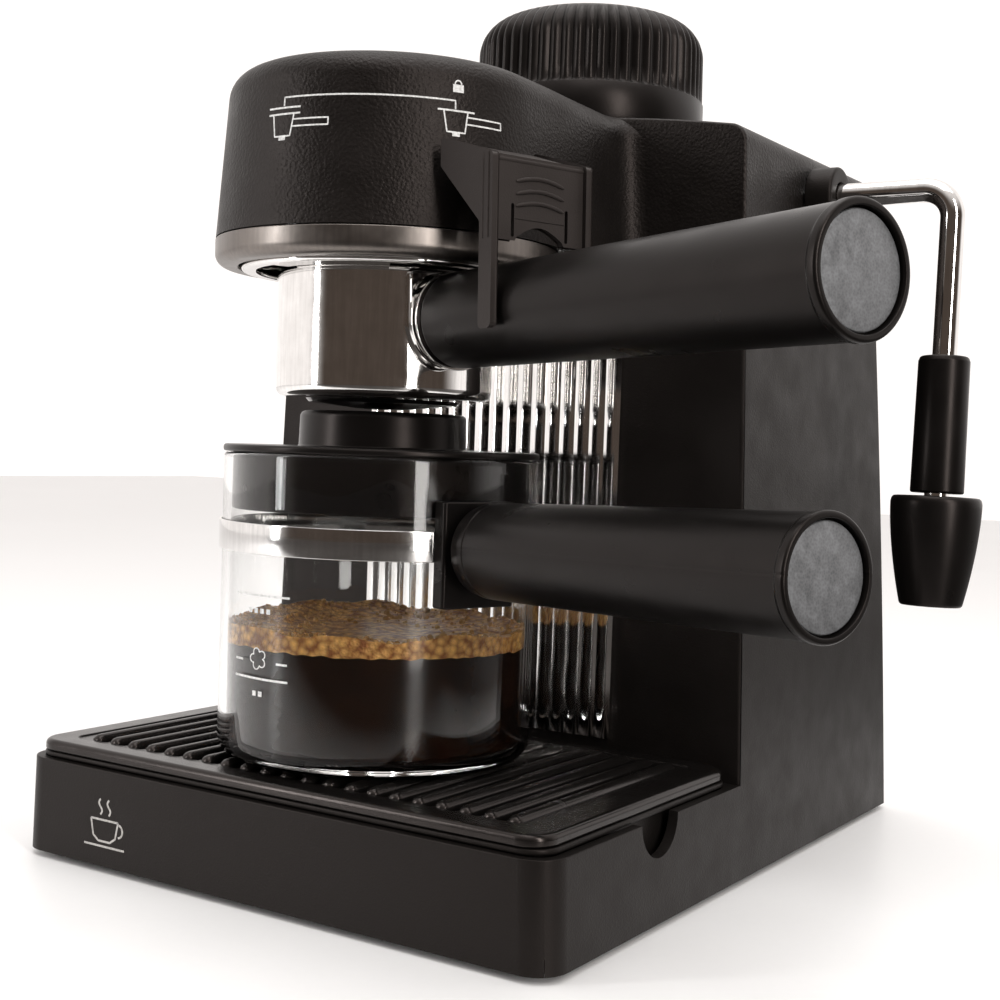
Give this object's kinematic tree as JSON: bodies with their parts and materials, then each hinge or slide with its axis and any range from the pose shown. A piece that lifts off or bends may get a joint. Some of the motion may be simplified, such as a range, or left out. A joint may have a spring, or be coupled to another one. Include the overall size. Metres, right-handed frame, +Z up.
{
  "type": "espresso machine",
  "caption": "Compact steam espresso machine with a side-handled filter holder, glass jug on a ribbed drip tray, ribbed boiler cap and side steam wand.",
  "frame": {"origin": "middle of the machine's footprint on the worktop, at foot level", "axes": "+Z up, front of the base faces -Y, steam wand on +X"},
  "size_m": [0.2792, 0.2712, 0.2803],
  "materials": {
    "black_textured": "fine leather-grain moulded ABS",
    "black_gloss": "high gloss moulded",
    "black_satin": "satin moulded phenolic",
    "black_matte": "fine matte moulded",
    "chrome": "polished plating",
    "grey_ring": "satin metallic grey",
    "silver_disc": "mottled satin silver",
    "steel": "plain rolled steel",
    "polished_steel": "polished stainless strip",
    "aluminium": "cast, as made",
    "brass": "turned",
    "rubber": "moulded rubber",
    "clear_glass": "clear borosilicate",
    "red_lens": "translucent red"
  },
  "bodies": {
    "machine": {"base_plate": "steel", "base_screw_1": "steel", "base_screw_2": "steel", "base_screw_3": "steel", "base_screw_4": "steel", "boiler": "aluminium", "boiler_bracket": "steel", "boiler_dome": "aluminium", "brew_pipe": "steel", "cord_bush": "rubber", "drip_grille": "black_gloss", "drip_tray": "black_textured", "filler_neck": "aluminium", "front_panel": "chrome", "group_gasket": "rubber", "group_head": "chrome", "group_ring": "grey_ring", "heating_element": "aluminium", "main_housing": "black_textured", "neck_nut": "brass", "pilot_lens": "red_lens", "rubber_foot_1": "rubber", "rubber_foot_2": "rubber", "rubber_foot_3": "rubber", "rubber_foot_4": "rubber", "shower_screen": "steel", "steam_pipe": "steel", "steam_valve": "brass", "switch_body": "black_gloss", "thermal_fuse": "steel", "thermostat": "steel", "top_housing": "black_textured", "wand_collar": "black_textured"},
    "filter_holder": {"filter_cup": "chrome", "filter_basket": "steel", "filter_spout": "black_gloss", "handle_ferrule": "chrome", "filter_handle": "black_satin", "filter_end_disc": "silver_disc", "filter_bolt": "steel"},
    "guard": {"thumb_guard": "black_matte"},
    "jug": {"jug_glass": "clear_glass", "jug_strap": "polished_steel", "jug_bracket": "black_satin", "jug_handle": "black_satin", "jug_end_disc": "silver_disc", "jug_bolt": "steel"},
    "lid": {"jug_lid": "black_gloss"},
    "cap_seal": {"cap_gasket": "rubber"},
    "cap": {"boiler_cap": "black_satin", "safety_valve": "brass"},
    "wand": {"steam_tube": "chrome", "wand_sleeve": "black_gloss"},
    "nozzle": {"froth_nozzle": "black_gloss"},
    "selector": {"selector_knob": "black_satin", "selector_shaft": "steel"},
    "rocker": {"power_rocker": "black_gloss"}
  },
  "joints": [
    {"name": "holder_turn", "type": "hinge", "parent": "machine", "child": "filter_holder", "pos_m": [-0.03428, -0.06036, 0.1627], "axis": [0, 0, 1], "range_deg": [-58, 0]},
    {"name": "guard_fold", "type": "hinge", "parent": "filter_holder", "child": "guard", "pos_m": [0.03335, -0.08497, 0.16469], "axis": [0.342, 0.9397, 0], "range_deg": [0, 40]},
    {"name": "jug_slide", "type": "slide", "parent": "machine", "child": "jug", "axis": [0, -1, 0], "range_m": [0, 0.13]},
    {"name": "lid_turn", "type": "hinge", "parent": "jug", "child": "lid", "pos_m": [-0.03428, -0.05986, 0.125], "axis": [0, 0, 1], "range_deg": [-90, 90]},
    {"name": "cap_lift", "type": "slide", "parent": "machine", "child": "cap_seal", "axis": [0, 0, 1], "range_m": [0, 0.012]},
    {"name": "cap_turn", "type": "hinge", "parent": "cap_seal", "child": "cap", "pos_m": [-0.03428, 0.05464, 0.242], "axis": [0, 0, 1], "range_deg": [0, 1080]},
    {"name": "wand_swivel", "type": "hinge", "parent": "machine", "child": "wand", "pos_m": [0.09962, 0.05064, 0.2135], "axis": [1, 0, 0], "range_deg": [-75, 20]},
    {"name": "nozzle_pull", "type": "slide", "parent": "wand", "child": "nozzle", "axis": [0, -0.0436, -0.999], "range_m": [0, 0.015]},
    {"name": "selector_turn", "type": "hinge", "parent": "machine", "child": "selector", "pos_m": [-0.12928, 0.05464, 0.209], "axis": [-1, 0, 0], "range_deg": [0, 90]},
    {"name": "rocker_press", "type": "hinge", "parent": "machine", "child": "rocker", "pos_m": [-0.12574, 0.04764, 0.062], "axis": [0, 0, 1], "range_deg": [0, 12]}
  ],
  "couplings": [
    {"joint": "cap_lift", "follows": "cap_turn", "m_per_rad": 0.00063662}
  ]
}
